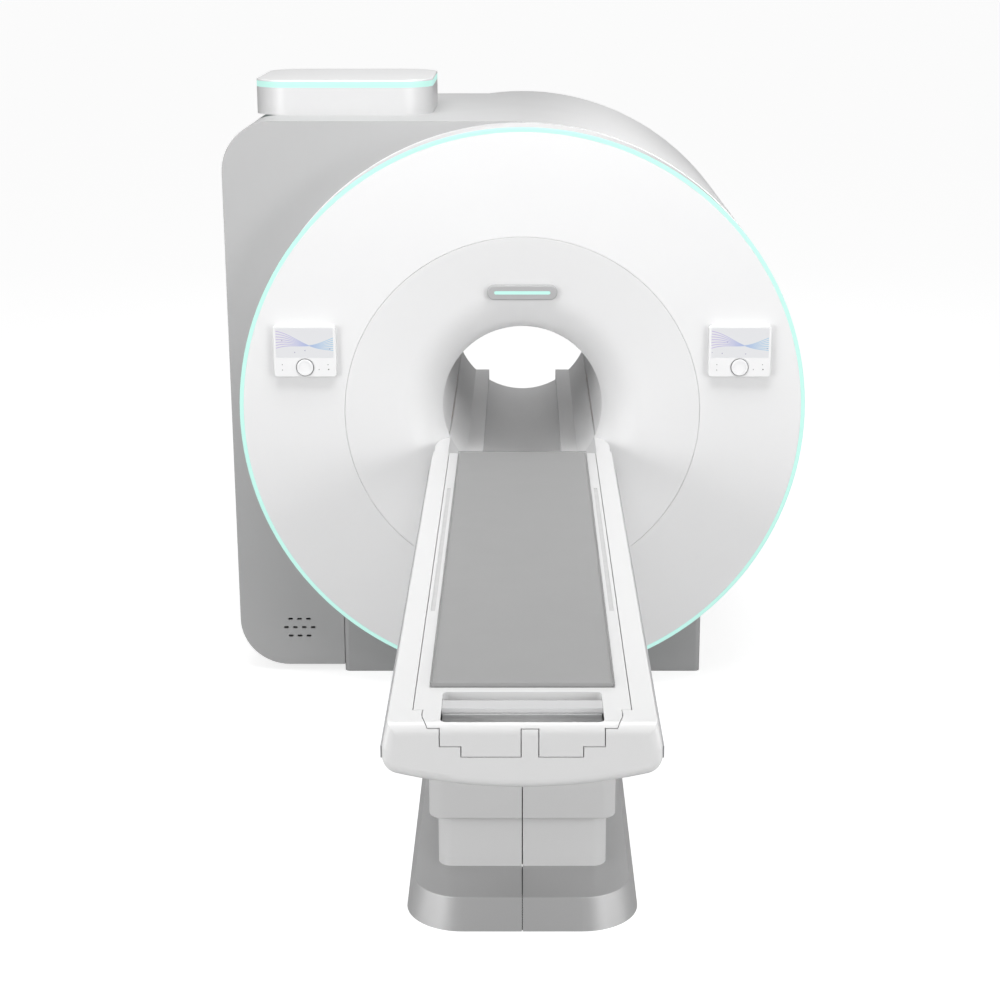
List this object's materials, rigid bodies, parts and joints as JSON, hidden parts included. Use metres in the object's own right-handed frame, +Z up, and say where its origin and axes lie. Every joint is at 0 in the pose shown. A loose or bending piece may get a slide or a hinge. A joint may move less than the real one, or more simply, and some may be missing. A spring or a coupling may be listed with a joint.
{
  "type": "mri scanner",
  "caption": "Whole-body MRI scanner: round magnet gantry with side cabinet, lit ring and control panels, and a lifting patient table whose cradle slides into the bore.",
  "frame": {"origin": "on the floor, below the middle of the patient bore", "axes": "+Y along the bore, away from the patient table; +Z up; +X to the right of someone who stands at the foot of the table"},
  "size_m": [2.151, 4.381, 2.271],
  "materials": {
    "cover_white": "satin moulded cover",
    "cover_grey": "satin paint",
    "light_teal": "lit diffuser",
    "liner_grey": "satin moulded liner",
    "magnet_steel": "painted steel",
    "former_composite": "glass fibre",
    "coil_copper": "copper winding",
    "potting_resin": "potting resin",
    "machine_grey": "painted housing",
    "fan_black": "moulded",
    "panel_white": "moulded",
    "screen_glass": "lit display behind glass",
    "dial_white": "moulded",
    "couch_white": "satin moulded cover",
    "trim_silver": "satin",
    "frame_aluminium": "mill finish",
    "belt_rubber": "toothed belt",
    "pulley_plastic": "moulded",
    "handle_grey": "moulded",
    "mattress_vinyl": "coated cloth",
    "runner_nylon": "nylon",
    "sleeve_grey": "satin moulded cover",
    "base_metal": "satin metal",
    "duct_grey": "satin paint",
    "lift_steel": "ground",
    "nut_bronze": "machined"
  },
  "bodies": {
    "scanner": {"front_fascia": "cover_white", "front_flare": "cover_white", "rim_band": "cover_white", "turret_housing": "cover_white", "turret_lid": "cover_white", "lamp_housing": "cover_white", "docking_bridge": "cover_white", "cabinet_shell": "cover_grey", "cabinet_front_panel": "cover_grey", "barrel_cover": "cover_grey", "rear_cover": "cover_grey", "plinth": "cover_grey", "ring_light": "light_teal", "turret_light": "light_teal", "lamp_light": "light_teal", "bore_liner_upper": "liner_grey", "bore_liner_lower": "liner_grey", "bridge_rails": "liner_grey", "cryostat_vessel": "magnet_steel", "cryostat_end_plate": "magnet_steel", "service_neck": "magnet_steel", "magnet_feet": "magnet_steel", "base_frame": "magnet_steel", "levelling_feet": "magnet_steel", "coil_former": "former_composite", "main_coils": "coil_copper", "rf_birdcage": "coil_copper", "gradient_coil": "potting_resin", "cold_head": "machine_grey", "lift_motor": "machine_grey", "fan_housing": "machine_grey", "panel_body_left": "panel_white", "panel_body_right": "panel_white", "panel_screen_left": "screen_glass", "panel_screen_right": "screen_glass", "lower_sleeve_left": "sleeve_grey", "lower_sleeve_right": "sleeve_grey", "base_cover_left": "base_metal", "base_cover_right": "base_metal", "floor_duct": "duct_grey", "guide_tubes": "lift_steel"},
    "fan": {"fan_rotor": "fan_black"},
    "dial_left": {"panel_dial_left": "dial_white"},
    "dial_right": {"panel_dial_right": "dial_white"},
    "couch": {"couch_shell": "couch_white", "side_trims": "trim_silver", "couch_frame": "frame_aluminium", "drive_belt": "belt_rubber", "drive_motor": "machine_grey", "upper_sleeve_left": "sleeve_grey", "upper_sleeve_right": "sleeve_grey", "lift_carriage": "frame_aluminium", "lift_nut": "nut_bronze"},
    "cradle": {"cradle": "couch_white", "mattress": "mattress_vinyl", "foot_handle": "handle_grey", "cradle_runners": "runner_nylon"},
    "idler_pulley": {"idler_pulley": "pulley_plastic"},
    "drive_pulley": {"drive_pulley": "pulley_plastic"},
    "lift_screw": {"lift_screw": "lift_steel"}
  },
  "joints": [
    {"name": "couch_lift", "type": "slide", "parent": "scanner", "child": "couch", "axis": [0, 0, 1], "range_m": [-0.17, 0]},
    {"name": "cradle_travel", "type": "slide", "parent": "couch", "child": "cradle", "axis": [0, 1, 0], "range_m": [0, 1.6]},
    {"name": "dial_left_turn", "type": "hinge", "parent": "scanner", "child": "dial_left", "pos_m": [-0.794, -0.8975, 1.276], "axis": [0, 1, 0], "range_deg": [-40, 40], "stiffness_Nm_per_rad": 0.05},
    {"name": "dial_right_turn", "type": "hinge", "parent": "scanner", "child": "dial_right", "pos_m": [0.794, -0.8975, 1.276], "axis": [0, 1, 0], "range_deg": [-40, 40], "stiffness_Nm_per_rad": 0.05},
    {"name": "fan_spin", "type": "hinge", "parent": "scanner", "child": "fan", "pos_m": [-0.875, -0.6275, 0.193], "axis": [0, 1, 0], "continuous": true},
    {"name": "lift_screw_spin", "type": "hinge", "parent": "scanner", "child": "lift_screw", "pos_m": [0, -2.0835, 0.493], "axis": [0, 0, 1], "range_deg": [-1, 6125]},
    {"name": "drive_pulley_spin", "type": "hinge", "parent": "couch", "child": "drive_pulley", "pos_m": [0, -1.0975, 0.86], "axis": [1, 0, 0], "range_deg": [-4705, 1]},
    {"name": "idler_pulley_spin", "type": "hinge", "parent": "couch", "child": "idler_pulley", "pos_m": [0, -3.3635, 0.86], "axis": [1, 0, 0], "range_deg": [-4705, 1]}
  ],
  "couplings": [
    {"joint": "lift_screw_spin", "follows": "couch_lift", "rad_per_m": -628.32},
    {"joint": "drive_pulley_spin", "follows": "cradle_travel", "rad_per_m": -51.282},
    {"joint": "idler_pulley_spin", "follows": "cradle_travel", "rad_per_m": -51.282}
  ]
}
